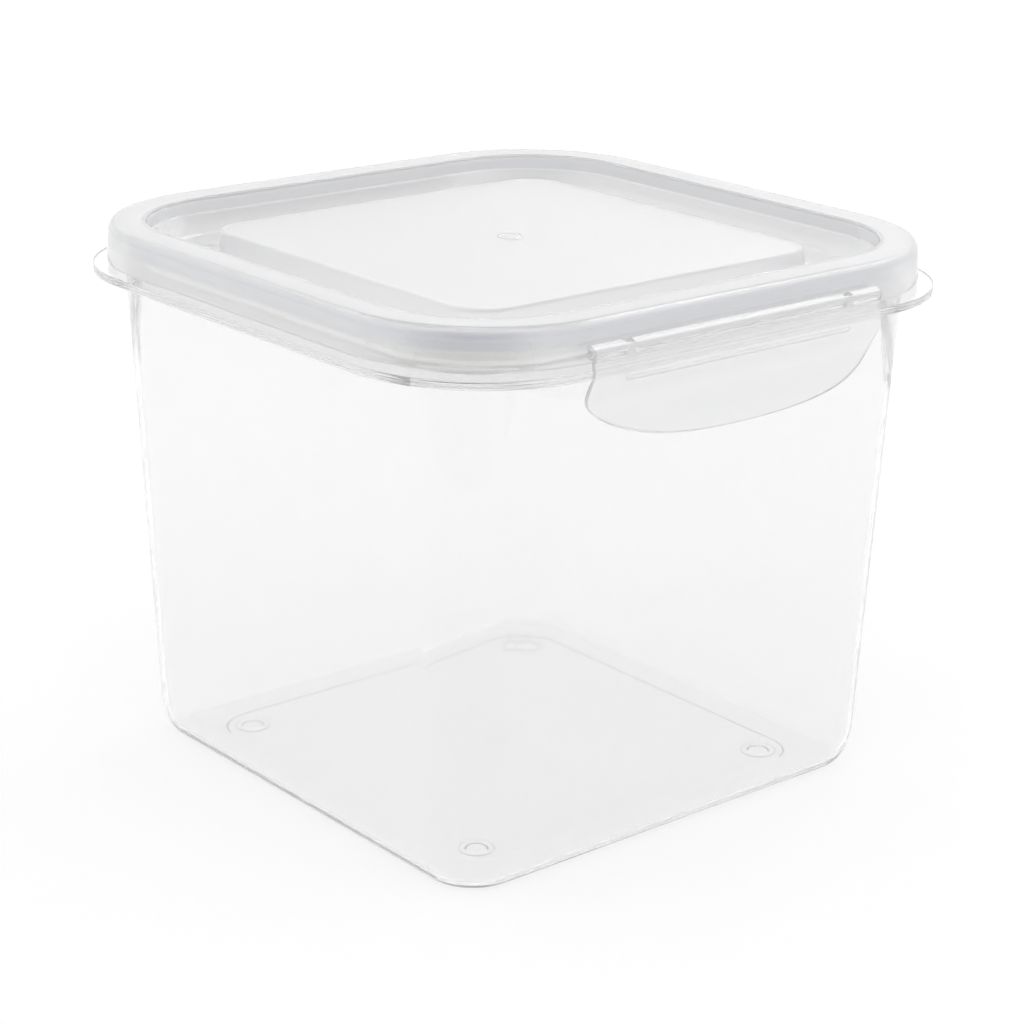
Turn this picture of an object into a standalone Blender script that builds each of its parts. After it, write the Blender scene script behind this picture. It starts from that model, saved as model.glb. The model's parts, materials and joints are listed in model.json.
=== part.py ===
"""Freezer container: a clear tapered tub, a lid with a seal in its channel, and two latches that
swing on rods of the lid and hook under the tub's flange. Metres, +Z up, the origin is under the
middle of the tub, -Y is the front."""

import math

import bmesh
import bpy

# Clearances
TOUCH_GAP = 0.0003
LEDGE_CLEARANCE = 0.0005
HOOK_CLEARANCE = 0.0003

# Tub: outer faces of a square with rounded corners
TUB_HEIGHT = 0.155
TUB_BASE_WIDTH = 0.1573
TUB_CORNER_RADIUS = 0.0174
TUB_WALL = 0.0015
BASE_EDGE_RADIUS = 0.007
FLOOR_THICKNESS = 0.002
PANEL_SETBACK = 0.01565
PANEL_RECESS = 0.0008
PANEL_RADIUS = 0.012
FOOT_RADIUS = 0.0052
FOOT_SETBACK = 0.009
GATE_RADIUS = 0.0035
GATE_HEIGHT = 0.0005

# Flat facets inside the tub's corners under the flange, where the corners are thicker, running out to a
# point below it: they keep empty tubs that are stacked in one another from jamming
FACET_DEPTH = 0.0061
FACET_HEIGHT = 0.0305

# Flange and the rim that stands on it
FLANGE_WIDTH = 0.1934
FLANGE_OVERHANG = 0.0129
FLANGE_THICKNESS = 0.0023
FLANGE_RADIUS = 0.0407
FLANGE_STEP = 0.0006
RIM_SETBACK = 0.0085
RIM_WALL = 0.0018
RIM_HEIGHT = 0.0078
RIM_RADIUS = 0.0378

# Lid
LID_SETBACK = 0.0017
LID_WALL = 0.0013
LID_RADIUS = 0.0452
SKIRT_LIFT = 0.0012
SKIRT_DRAFT = 0.0006
SHOULDER_RADIUS = 0.0033
PLUG_CLEARANCE = 0.0017
PLUG_TAPER = 0.0028
PLUG_RADIUS = 0.0343
PLUG_STEP = 0.0005
PLUG_STEP_DROP = 0.0044
PLATEAU_SETBACK = 0.033
PLATEAU_DROP = 0.0034
PLATEAU_RADIUS = 0.016
PLATEAU_DRAFT = 0.0009
EDGE_RADIUS = 0.0009

# Seal
SEAL_THICKNESS = 0.0025
SEAL_WIDTH = 0.0046
SEAL_LIP = 0.0007

# Latch, measured from its axis outwards and downwards: the bar while it is snapped home, the flap at rest
LATCH_LENGTH = 0.104
LATCH_OFFSET = 0.003
AXIS_OUT = 0.002
AXIS_RISE = 0.0048
KNUCKLE_RADIUS = 0.0019
BORE_RADIUS = 0.00125
ROD_RADIUS = 0.00095
SLOT_WIDTH = 0.0016
BAR_FRONT = 0.00195
BAR_EDGE_UP = 0.0006
BAR_DROP = 0.0026
NECK_SETBACK = 0.0001
NECK_END = 0.0045
FLAP_GROOVE = 0.0004
FLAP_THICKNESS = 0.0013
FLAP_CREST_DROP = 0.0058
FLAP_CREST_OUT = 0.0022
FLAP_CREST_EASE = 0.0005
FLAP_HOLLOW_DROP = 0.0148
FLAP_HOLLOW_DEPTH = 0.0028
FLAP_TIP_FLARE = 0.0041
FLAP_SWELL = 0.0013
FLAP_SWELL_DROP = 0.0095
FLAP_DROP = 0.0259
HOOK_LENGTH = 0.080
HOOK_TIP = 0.0008
HOOK_RAMP = 0.001
POCKET_FRONT = 0.0014
REST_SWING = math.radians(6)

# Lugs on the lid that carry the rod, in pockets in the back of the bar
LUG_INSET = 0.012
LUG_THICKNESS = 0.002
LUG_HEIGHT = 0.0016
POCKET_CLEARANCE = 0.0004
ROD_SETBACK = 0.0006

# Shares and counts
FACET_START_SHARE = 0.04
FLANGE_SPLIT_SHARE = 0.22
TURN_PER_METRE = 17
CORNER_REACH = 0.045
OVAL_POWER = 2.35
OVAL_END_SHARE = 0.93
ARM_STEPS = 5
MIDDLE_STEPS = 8
CORNER_STEPS = 12
EDGE_STEPS = 4
FACET_STEPS = 4
KNUCKLE_STEPS = 4
BORE_STEPS = 12
FLAP_STEPS = 12
SWELL_STEPS = 8
ROUND_SIDES = 24

# Places worked out from the sizes above
BASE_HALF = TUB_BASE_WIDTH / 2
PANEL_HALF = BASE_HALF - PANEL_SETBACK
FLANGE_HALF = FLANGE_WIDTH / 2
TOP_HALF = FLANGE_HALF - FLANGE_OVERHANG
FLANGE_TOP = TUB_HEIGHT - RIM_HEIGHT
FLANGE_BOTTOM = FLANGE_TOP - FLANGE_THICKNESS
RIM_HALF = FLANGE_HALF - RIM_SETBACK
RIM_INNER_HALF = RIM_HALF - RIM_WALL
LID_HALF = FLANGE_HALF - LID_SETBACK
SKIRT_BOTTOM = FLANGE_TOP + SKIRT_LIFT
SEAL_BOTTOM = TUB_HEIGHT + TOUCH_GAP
CHANNEL_ROOF = SEAL_BOTTOM + SEAL_THICKNESS + TOUCH_GAP
LID_TOP = CHANNEL_ROOF + LID_WALL
TROUGH_UNDERSIDE = FLANGE_TOP + LEDGE_CLEARANCE
TROUGH_FLOOR = TROUGH_UNDERSIDE + LID_WALL
PLATEAU_TOP = LID_TOP - PLATEAU_DROP
PLATEAU_HALF = LID_HALF - PLATEAU_SETBACK
PLUG_TOP_HALF = RIM_INNER_HALF - PLUG_CLEARANCE
PLUG_BOTTOM_HALF = PLUG_TOP_HALF - PLUG_TAPER
AXIS_Y = LID_HALF + AXIS_OUT
AXIS_Z = FLANGE_TOP + AXIS_RISE
FLAP_BACK = AXIS_Y - FLANGE_HALF - TOUCH_GAP
FLAP_FRONT = FLAP_THICKNESS - FLAP_BACK
HOOK_DROP = AXIS_Z - FLANGE_BOTTOM + HOOK_CLEARANCE
LUG_OUTSIDE = LATCH_LENGTH / 2 - LUG_INSET
LUG_INSIDE = LUG_OUTSIDE - LUG_THICKNESS


def clear_scene():
    for obj in list(bpy.data.objects):
        bpy.data.objects.remove(obj)


def plastic(name, colour, roughness, alpha):
    material = bpy.data.materials.new(name)
    material.use_nodes = True
    shader = material.node_tree.nodes["Principled BSDF"]
    shader.inputs["Base Color"].default_value = (*colour, 1.0)
    shader.inputs["Roughness"].default_value = roughness
    shader.inputs["Metallic"].default_value = 0.0
    shader.inputs["Alpha"].default_value = alpha
    return material


def object_from(name, bm, material=None):
    """Turns a bmesh into an object. Without a material it is a helper."""
    bmesh.ops.recalc_face_normals(bm, faces=bm.faces)
    mesh = bpy.data.meshes.new(name)
    bm.to_mesh(mesh)
    bm.free()
    obj = bpy.data.objects.new(name, mesh)
    bpy.context.scene.collection.objects.link(obj)
    if material:
        mesh.materials.append(material)
    else:
        obj.hide_render = True
        obj.display_type = "WIRE"
    return obj


def join(obj, other, operation="UNION"):
    modifier = obj.modifiers.new(other.name, "BOOLEAN")
    modifier.operation = operation
    modifier.solver = "EXACT"
    modifier.object = other


def loft(bm, rows, closed=False):
    """Joins rows of equal counts of points, and caps both ends unless the rows close on themselves."""
    rows = [[bm.verts.new(point) for point in row] for row in rows]
    pairs = list(zip(rows, rows[1:]))
    if closed:
        pairs.append((rows[-1], rows[0]))
    for first, second in pairs:
        for i in range(len(first)):
            j = (i + 1) % len(first)
            bm.faces.new((first[i], first[j], second[j], second[i]))
    if not closed:
        bm.faces.new(rows[0])
        bm.faces.new(rows[-1])


def disc(name, radius, low, high, place):
    """A helper cylinder along Z between two heights."""
    x, y = place
    angles = [2 * math.pi * i / ROUND_SIDES for i in range(ROUND_SIDES)]
    bm = bmesh.new()
    loft(bm, [[(x + radius * math.cos(a), y + radius * math.sin(a), z) for a in angles] for z in (low, high)])
    return object_from(name, bm)


def all_corners(points, height):
    """The points of one corner, repeated round the four corners at a height."""
    ring = []
    for _ in range(4):
        ring += [(x, y, height) for x, y in points]
        points = [(-y, x) for x, y in points]
    return ring


def arc(centre, radius, angle):
    return centre + radius * math.cos(angle), centre + radius * math.sin(angle)


def ring(half, radius, height):
    """A square with round corners."""
    angles = [math.pi / 2 * step / CORNER_STEPS for step in range(CORNER_STEPS + 1)]
    return all_corners([arc(half - radius, radius, angle) for angle in angles], height)


def arm(half, radius, end, on_arc):
    """Points from the side's start towards a corner: up to a place on the side, or to an angle on the arc."""
    start = half - CORNER_REACH
    straight = (half - radius - start if on_arc else end - start) * TURN_PER_METRE
    turned = end if on_arc else 0
    points = []
    for step in range(ARM_STEPS):
        share = (straight + turned) * step / ARM_STEPS
        if share <= straight:
            points.append((half, start + share / TURN_PER_METRE))
        else:
            points.append(arc(half - radius, radius, share - straight))
    return points


def arc_turn(radius, depth):
    """How far either side of a corner's middle its arc is cut by a flat facet of a depth."""
    return math.acos(max(1 - depth / radius, 0))


def tub_ring(half, radius, height, split, depth=None):
    """One ring of the tub. The depth is how far a flat facet stands in from the arc of the corner."""
    sweep = math.pi / 2 - 2 * split
    middle = [arc(half - radius, radius, split + sweep * step / MIDDLE_STEPS) for step in range(MIDDLE_STEPS + 1)]
    on_arc = True
    if depth:
        on_arc = arc_turn(radius, depth) <= math.pi / 4
        if on_arc:
            split = math.pi / 4 - arc_turn(radius, depth)
            x, y = arc(half - radius, radius, split)
        else:
            x = half
            y = half - 2 * radius + math.sqrt(2) * (radius - depth)
            split = y
        shares = [step / MIDDLE_STEPS for step in range(MIDDLE_STEPS + 1)]
        middle = [(x + (y - x) * share, y + (x - y) * share) for share in shares]
    first = arm(half, radius, split, on_arc)
    points = first + middle + [(y, x) for x, y in reversed(first)]
    return all_corners(points, height)


def tub_half(height):
    """The outer half-width of the tapered wall."""
    return BASE_HALF + (TOP_HALF - BASE_HALF) * height / FLANGE_BOTTOM


def wall_split():
    """Where the corners of the rings are split, to meet the facets' first ring."""
    return math.pi / 4 - arc_turn(TUB_CORNER_RADIUS - TUB_WALL, FACET_DEPTH * FACET_START_SHARE)


def wall_rings(inset, floor, edge_radius, top, faceted):
    """The wall from the floor up: its rounded edge, the plain wall and the heights of the facets."""
    split = wall_split()
    rings = []
    for step in range(EDGE_STEPS + 1):
        angle = math.pi / 2 * step / EDGE_STEPS
        height = floor + edge_radius * (1 - math.cos(angle))
        inwards = inset + edge_radius * (1 - math.sin(angle))
        rings.append(tub_ring(tub_half(height) - inwards, TUB_CORNER_RADIUS - inwards, height, split))
    point = FLANGE_BOTTOM - FACET_HEIGHT
    rings.append(tub_ring(tub_half(point) - inset, TUB_CORNER_RADIUS - inset, point, split))
    for step in range(FACET_STEPS + 1):
        share = FACET_START_SHARE + (1 - FACET_START_SHARE) * step / FACET_STEPS
        height = point + FACET_HEIGHT * share
        depth = FACET_DEPTH * share if faceted else None
        place = top if step == FACET_STEPS else height
        rings.append(tub_ring(tub_half(height) - inset, TUB_CORNER_RADIUS - inset, place, split, depth))
    return rings


def flange_rings():
    """The flange's edge with its step, then the rim, from the underside up and over."""
    split = math.pi / 2 * FLANGE_SPLIT_SHARE
    step_height = FLANGE_BOTTOM + FLANGE_THICKNESS / 2
    soft = FLANGE_STEP / 2
    outline = [
        (FLANGE_HALF - FLANGE_STEP - soft, FLANGE_BOTTOM),
        (FLANGE_HALF - FLANGE_STEP, FLANGE_BOTTOM + soft),
        (FLANGE_HALF - FLANGE_STEP, step_height),
        (FLANGE_HALF, step_height),
        (FLANGE_HALF, FLANGE_TOP - soft),
        (FLANGE_HALF - soft, FLANGE_TOP),
    ]
    rings = [tub_ring(half, FLANGE_RADIUS - FLANGE_HALF + half, height, split) for half, height in outline]
    outline = [
        (RIM_HALF, FLANGE_TOP),
        (RIM_HALF, TUB_HEIGHT - soft),
        (RIM_HALF - soft, TUB_HEIGHT),
        (RIM_INNER_HALF + soft, TUB_HEIGHT),
        (RIM_INNER_HALF, TUB_HEIGHT - soft),
        (RIM_INNER_HALF, FLANGE_TOP),
    ]
    rings += [tub_ring(half, RIM_RADIUS - RIM_HALF + half, height, split) for half, height in outline]
    return rings


def make_tub(material):
    split = wall_split()
    raised = FLOOR_THICKNESS + PANEL_RECESS
    inner_half = PANEL_HALF - PANEL_RECESS
    inner_radius = PANEL_RADIUS - PANEL_RECESS
    rings = [
        tub_ring(inner_half, inner_radius, PANEL_RECESS, split),
        tub_ring(PANEL_HALF, PANEL_RADIUS, 0, split),
    ]
    rings += wall_rings(0, 0, BASE_EDGE_RADIUS, FLANGE_BOTTOM, faceted=False)
    rings += flange_rings()
    inner_edge = BASE_EDGE_RADIUS - TUB_WALL
    rings += reversed(wall_rings(TUB_WALL, FLOOR_THICKNESS, inner_edge, FLANGE_TOP, faceted=True))
    rings.append(tub_ring(inner_half, inner_radius, FLOOR_THICKNESS, split))
    rings.append(tub_ring(inner_half - PANEL_RECESS, inner_radius - PANEL_RECESS, raised, split))
    bm = bmesh.new()
    loft(bm, rings)
    tub = object_from("tub", bm, material)
    inside = PANEL_RECESS + FLOOR_THICKNESS / 2
    place = PANEL_HALF - FOOT_SETBACK
    for i, (x, y) in enumerate(((1, 1), (-1, 1), (-1, -1), (1, -1))):
        join(tub, disc(f"foot_{i}", FOOT_RADIUS, 0, inside, (x * place, y * place)))
    join(tub, disc("tub_gate", GATE_RADIUS, PANEL_RECESS - GATE_HEIGHT, inside, (0, 0)))
    return tub


def lid_rings():
    """The lid's sheet over the top from the plateau to the skirt, then back along the underside."""
    visible = LID_WALL
    step_height = LID_TOP - PLUG_STEP_DROP
    top_half = PLUG_TOP_HALF - visible
    top_radius = PLUG_RADIUS - visible
    bottom_half = PLUG_BOTTOM_HALF - visible
    bottom_radius = top_radius - PLUG_TAPER
    plateau_foot = PLATEAU_HALF + PLATEAU_DRAFT
    roof_half = LID_HALF - SHOULDER_RADIUS
    skirt_top = LID_HALF - SKIRT_DRAFT
    slope = SHOULDER_RADIUS * (1 - 1 / math.sqrt(2))
    return [
        ring(PLATEAU_HALF - EDGE_RADIUS, PLATEAU_RADIUS - EDGE_RADIUS, PLATEAU_TOP),
        ring(PLATEAU_HALF, PLATEAU_RADIUS, PLATEAU_TOP - EDGE_RADIUS),
        ring(plateau_foot, PLATEAU_RADIUS + PLATEAU_DRAFT, TROUGH_FLOOR),
        ring(bottom_half - EDGE_RADIUS, bottom_radius - EDGE_RADIUS, TROUGH_FLOOR),
        ring(bottom_half, bottom_radius, TROUGH_FLOOR + EDGE_RADIUS),
        ring(top_half - PLUG_STEP, top_radius - PLUG_STEP, step_height - PLUG_STEP),
        ring(top_half, top_radius, step_height),
        ring(top_half, top_radius, LID_TOP - EDGE_RADIUS),
        ring(top_half + EDGE_RADIUS, top_radius + EDGE_RADIUS, LID_TOP),
        ring(roof_half - SKIRT_DRAFT, LID_RADIUS - SHOULDER_RADIUS - SKIRT_DRAFT, LID_TOP),
        ring(skirt_top - slope, LID_RADIUS - SKIRT_DRAFT - slope, LID_TOP - slope),
        ring(skirt_top, LID_RADIUS - SKIRT_DRAFT, LID_TOP - SHOULDER_RADIUS),
        ring(LID_HALF, LID_RADIUS, SKIRT_BOTTOM),
        ring(LID_HALF - LID_WALL, LID_RADIUS - LID_WALL, SKIRT_BOTTOM),
        ring(skirt_top - LID_WALL, LID_RADIUS - SKIRT_DRAFT - LID_WALL, LID_TOP - SHOULDER_RADIUS),
        ring(roof_half - SKIRT_DRAFT, LID_RADIUS - SHOULDER_RADIUS - SKIRT_DRAFT, CHANNEL_ROOF),
        ring(PLUG_TOP_HALF, PLUG_RADIUS, CHANNEL_ROOF),
        ring(PLUG_TOP_HALF, PLUG_RADIUS, step_height - LID_WALL),
        ring(PLUG_BOTTOM_HALF, PLUG_RADIUS - PLUG_TAPER, TROUGH_UNDERSIDE + EDGE_RADIUS),
        ring(PLUG_BOTTOM_HALF - EDGE_RADIUS, PLUG_RADIUS - PLUG_TAPER - EDGE_RADIUS, TROUGH_UNDERSIDE),
        ring(plateau_foot - LID_WALL, PLATEAU_RADIUS + PLATEAU_DRAFT - LID_WALL, TROUGH_UNDERSIDE),
        ring(PLATEAU_HALF - LID_WALL, PLATEAU_RADIUS - LID_WALL, PLATEAU_TOP - LID_WALL),
    ]


def lug(name, side, end):
    """A lug from the skirt to the rod. The side is -1 at the front, the end -1 on the left."""
    root = LID_HALF - LID_WALL / 2 - SKIRT_DRAFT / 2
    outline = [(out, AXIS_Z + up * LUG_HEIGHT / 2) for out, up in ((root, 1), (AXIS_Y, 1), (AXIS_Y, -1), (root, -1))]
    places = [end * place + side * LATCH_OFFSET for place in (LUG_INSIDE, LUG_OUTSIDE)]
    bm = bmesh.new()
    loft(bm, [[(x, side * out, up) for out, up in outline] for x in places])
    return object_from(name, bm)


def rod(name, side):
    """The rod that a latch swings on, along X."""
    reach = LATCH_LENGTH / 2 - ROD_SETBACK
    middle = side * LATCH_OFFSET
    angles = [2 * math.pi * i / ROUND_SIDES for i in range(ROUND_SIDES)]
    rows = []
    for x in (middle - reach, middle + reach):
        rows.append([(x, side * AXIS_Y + ROD_RADIUS * math.cos(a), AXIS_Z + ROD_RADIUS * math.sin(a)) for a in angles])
    bm = bmesh.new()
    loft(bm, rows)
    return object_from(name, bm)


def make_lid(material):
    bm = bmesh.new()
    loft(bm, lid_rings())
    lid = object_from("lid", bm, material)
    for side, side_name in ((-1, "front"), (1, "rear")):
        for end, end_name in ((-1, "left"), (1, "right")):
            join(lid, lug(f"lug_{side_name}_{end_name}", side, end))
        join(lid, rod(f"rod_{side_name}", side))
    join(lid, disc("lid_gate", GATE_RADIUS, PLATEAU_TOP - LID_WALL / 2, PLATEAU_TOP + GATE_HEIGHT, (0, 0)))
    return lid


def make_seal(material):
    """A ring of soft seal under the channel's roof, with a groove for the tub's rim."""
    middle = (RIM_HALF + RIM_INNER_HALF) / 2
    middle_radius = RIM_RADIUS - RIM_WALL / 2
    reach = SEAL_WIDTH / 2
    top = SEAL_BOTTOM + SEAL_THICKNESS
    lip = SEAL_BOTTOM - SEAL_LIP
    soft = SEAL_LIP / 2
    groove = RIM_WALL / 2 + TOUCH_GAP
    profile = [
        (reach - soft, top),
        (reach, top - soft),
        (reach, lip + soft),
        (reach - soft, lip),
        (groove, lip),
        (groove, SEAL_BOTTOM),
        (-groove, SEAL_BOTTOM),
        (-groove, lip),
        (-reach + soft, lip),
        (-reach, lip + soft),
        (-reach, top - soft),
        (-reach + soft, top),
    ]
    bm = bmesh.new()
    loft(bm, [ring(middle + out, middle_radius + out, height) for out, height in profile], closed=True)
    return object_from("lid_seal", bm, material)


def knuckle_arc(radius, first, last, steps):
    """Points round the axis. The angle is 0 towards the lid and grows downwards."""
    angles = [first + (last - first) * step / steps for step in range(steps + 1)]
    return [(-radius * math.cos(angle), -radius * math.sin(angle)) for angle in angles]


def bar_section():
    """The outline of the knuckle, the bar and the neck, snapped home, as (out, up) from the axis."""
    slot_outside = math.asin(SLOT_WIDTH / 2 / KNUCKLE_RADIUS)
    slot_inside = math.asin(SLOT_WIDTH / 2 / BORE_RADIUS)
    neck_back = NECK_SETBACK - FLAP_BACK
    neck_front = FLAP_FRONT - NECK_SETBACK
    under = math.pi - math.acos(neck_back / KNUCKLE_RADIUS)
    outline = knuckle_arc(KNUCKLE_RADIUS, -slot_outside, -math.pi / 2, KNUCKLE_STEPS)
    outline += [(BAR_FRONT, BAR_EDGE_UP), (BAR_FRONT, -BAR_DROP), (neck_front, -BAR_DROP)]
    outline += [(neck_front, -NECK_END), (neck_back, -NECK_END)]
    outline += knuckle_arc(KNUCKLE_RADIUS, under, slot_outside, KNUCKLE_STEPS)
    outline += knuckle_arc(BORE_RADIUS, slot_inside, 2 * math.pi - slot_inside, BORE_STEPS)
    return outline


def swung(outline):
    """The outline turned outwards about the axis, from home to the rest pose."""
    c = math.cos(REST_SWING)
    s = math.sin(REST_SWING)
    return [(out * c - up * s, up * c + out * s) for out, up in outline]


def eased(first, last, share):
    return first + (last - first) * (1 - math.cos(math.pi * share)) / 2


def flap_front(drop):
    """How far out the flap's front hangs at rest: over the flange, in under it, and out again at the tip."""
    top = BAR_DROP + FLAP_GROOVE
    hollow = FLAP_CREST_OUT - FLAP_HOLLOW_DEPTH
    if drop < FLAP_CREST_DROP:
        return eased(FLAP_CREST_OUT - FLAP_CREST_EASE, FLAP_CREST_OUT, (drop - top) / (FLAP_CREST_DROP - top))
    if drop < FLAP_HOLLOW_DROP:
        share = (drop - FLAP_CREST_DROP) / (FLAP_HOLLOW_DROP - FLAP_CREST_DROP)
        return eased(FLAP_CREST_OUT, hollow, share)
    share = (drop - FLAP_HOLLOW_DROP) / (FLAP_DROP - FLAP_HOLLOW_DROP)
    return eased(hollow, hollow + FLAP_TIP_FLARE, share)


def flap_outline():
    """Pairs of a distance down the flap and its half-width there."""
    half = LATCH_LENGTH / 2
    top = BAR_DROP + FLAP_GROOVE
    pairs = []
    for step in range(SWELL_STEPS):
        share = step / SWELL_STEPS
        pairs.append((top + (FLAP_SWELL_DROP - top) * share, eased(half, half + FLAP_SWELL, share)))
    power = 2 / OVAL_POWER
    for step in range(FLAP_STEPS + 1):
        angle = math.pi / 2 * OVAL_END_SHARE * step / FLAP_STEPS
        down = (FLAP_DROP - FLAP_SWELL_DROP) * math.sin(angle) ** power
        pairs.append((FLAP_SWELL_DROP + down, (half + FLAP_SWELL) * math.cos(angle) ** power))
    return pairs


def run(name, outline, first, last):
    """A helper of one outline of (out, up) from the axis, run along X."""
    bm = bmesh.new()
    loft(bm, [[(x, -out, up) for out, up in outline] for x in (first, last)])
    return object_from(name, bm)


def latch_shape(material):
    """The latch facing -Y with its axis along X through its origin."""
    ends = (-LATCH_LENGTH / 2, LATCH_LENGTH / 2)
    bm = bmesh.new()
    loft(bm, [[(x, -out, up) for out, up in swung(bar_section())] for x in ends])
    shape = object_from("latch_shape", bm, material)
    outer = KNUCKLE_RADIUS + POCKET_CLEARANCE
    pocket = swung([(-outer, outer), (POCKET_FRONT, outer), (POCKET_FRONT, -KNUCKLE_RADIUS), (-outer, -KNUCKLE_RADIUS)])
    for end in (-1, 1):
        places = sorted(end * place for place in (LUG_INSIDE - POCKET_CLEARANCE, LUG_OUTSIDE + POCKET_CLEARANCE))
        join(shape, run(f"pocket_{end}", pocket, *places), "DIFFERENCE")
    rows = []
    for drop, half in flap_outline():
        front = flap_front(drop)
        back = front - FLAP_THICKNESS
        rows.append([(x, -out, -drop) for x, out in ((-half, front), (half, front), (half, back), (-half, back))])
    bm = bmesh.new()
    loft(bm, rows)
    join(shape, object_from("flap", bm))
    tip = FLANGE_HALF - AXIS_Y + TOUCH_GAP
    lower = HOOK_DROP + HOOK_TIP + HOOK_RAMP
    outline = [
        (flap_front(HOOK_DROP) - FLAP_THICKNESS / 2, -HOOK_DROP),
        (tip, -HOOK_DROP),
        (tip, -HOOK_DROP - HOOK_TIP),
        (flap_front(lower) - FLAP_THICKNESS / 2, -lower),
    ]
    join(shape, run("hook", outline, -HOOK_LENGTH / 2, HOOK_LENGTH / 2))
    return shape


def make_latches(material):
    """Both latches from one mesh, each with its origin on its axis."""
    shape = latch_shape(material)
    evaluated = shape.evaluated_get(bpy.context.evaluated_depsgraph_get())
    mesh = bpy.data.meshes.new_from_object(evaluated)
    bpy.data.objects.remove(shape)
    latches = []
    for name, side, turn in (("latch_front", -1, 0), ("latch_rear", 1, math.pi)):
        latch = bpy.data.objects.new(name, mesh)
        latch.location = (side * LATCH_OFFSET, side * AXIS_Y, AXIS_Z)
        latch.rotation_euler = (0, 0, turn)
        bpy.context.scene.collection.objects.link(latch)
        latches.append(latch)
    return latches


def main():
    clear_scene()
    clear = plastic("clear_polypropylene", (0.90, 0.92, 0.94), 0.12, 0.35)
    lid_plastic = plastic("lid_polypropylene", (0.84, 0.87, 0.92), 0.25, 0.6)
    latch_plastic = plastic("latch_polypropylene", (0.88, 0.89, 0.91), 0.3, 0.85)
    silicone = plastic("silicone", (0.86, 0.86, 0.82), 0.5, 1.0)
    make_tub(clear)
    lid = make_lid(lid_plastic)
    make_seal(silicone).parent = lid
    for latch in make_latches(latch_plastic):
        latch.parent = lid


if __name__ == "__main__":
    main()
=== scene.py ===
"""The looks of a freezer container: a clear tub, a milky lid with its seal, and two frosted latches."""

import json
import math

import bmesh
import bpy
from bpy.props import FloatProperty, FloatVectorProperty, IntProperty, PointerProperty
from mathutils import Matrix, Vector


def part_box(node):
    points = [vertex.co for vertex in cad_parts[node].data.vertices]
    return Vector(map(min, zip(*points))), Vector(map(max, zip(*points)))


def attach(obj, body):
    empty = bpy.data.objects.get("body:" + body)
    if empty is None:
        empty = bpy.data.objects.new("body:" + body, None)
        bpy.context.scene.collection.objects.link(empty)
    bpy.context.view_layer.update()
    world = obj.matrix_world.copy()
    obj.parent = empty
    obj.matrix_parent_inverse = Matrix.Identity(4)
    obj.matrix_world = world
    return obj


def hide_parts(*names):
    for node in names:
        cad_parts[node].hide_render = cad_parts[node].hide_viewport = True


bl_info = {
    "name": "Freezer container",
    "version": (1, 0, 0),
    "blender": (4, 5, 0),
    "location": "3D View > Sidebar > Container",
    "description": "Builds a clear freezer container with a latching lid",
    "category": "Object",
}

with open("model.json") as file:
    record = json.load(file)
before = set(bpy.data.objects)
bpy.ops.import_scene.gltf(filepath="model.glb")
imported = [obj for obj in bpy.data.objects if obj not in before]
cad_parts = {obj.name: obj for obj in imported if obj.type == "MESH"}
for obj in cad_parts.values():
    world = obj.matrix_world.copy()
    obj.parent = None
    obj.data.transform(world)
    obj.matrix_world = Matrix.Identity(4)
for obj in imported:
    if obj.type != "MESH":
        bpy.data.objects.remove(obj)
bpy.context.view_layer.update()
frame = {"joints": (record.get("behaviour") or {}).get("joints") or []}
TUB_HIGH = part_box("tub")[1]
LID_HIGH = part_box("lid")[1]
AXES = {joint["child"]: Vector(joint["pos_m"]) for joint in frame["joints"] if joint["type"] == "hinge"}
SIDES = {"latch_front": -1, "latch_rear": 1}

# Small sizes in metres that have no field in the panel
GATE_RADIUS = 0.0035
TUB_GATE_BOTTOM = 0.0003
LID_GATE_HEIGHT = 0.0002
FINE_EDGE = 0.0004
HOOK_CLEARANCE = 0.0003

# The stage
FLOOR_RADIUS = 6
FLOOR_DROP = 0.0001
SOFTBOX_SIZE = (0.6, 0.45)
SOFTBOX_PLACE = (0.95, 0.3, 1.22)


def length(name, description, default):
    return FloatProperty(name=name, description=description, default=default, unit="LENGTH", min=0, precision=5)


def colour(name, description, default):
    return FloatVectorProperty(name=name, description=description, default=default, subtype="COLOR", min=0, max=1)


def angle(name, description, degrees):
    return FloatProperty(name=name, description=description, default=math.radians(degrees), subtype="ANGLE")


def share(name, description, default):
    return FloatProperty(name=name, description=description, default=default, subtype="FACTOR", min=0, max=1)


def strength(name, description, default):
    return FloatProperty(name=name, description=description, default=default, min=0)


def count(name, description, default):
    return IntProperty(name=name, description=description, default=default, min=1)


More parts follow.
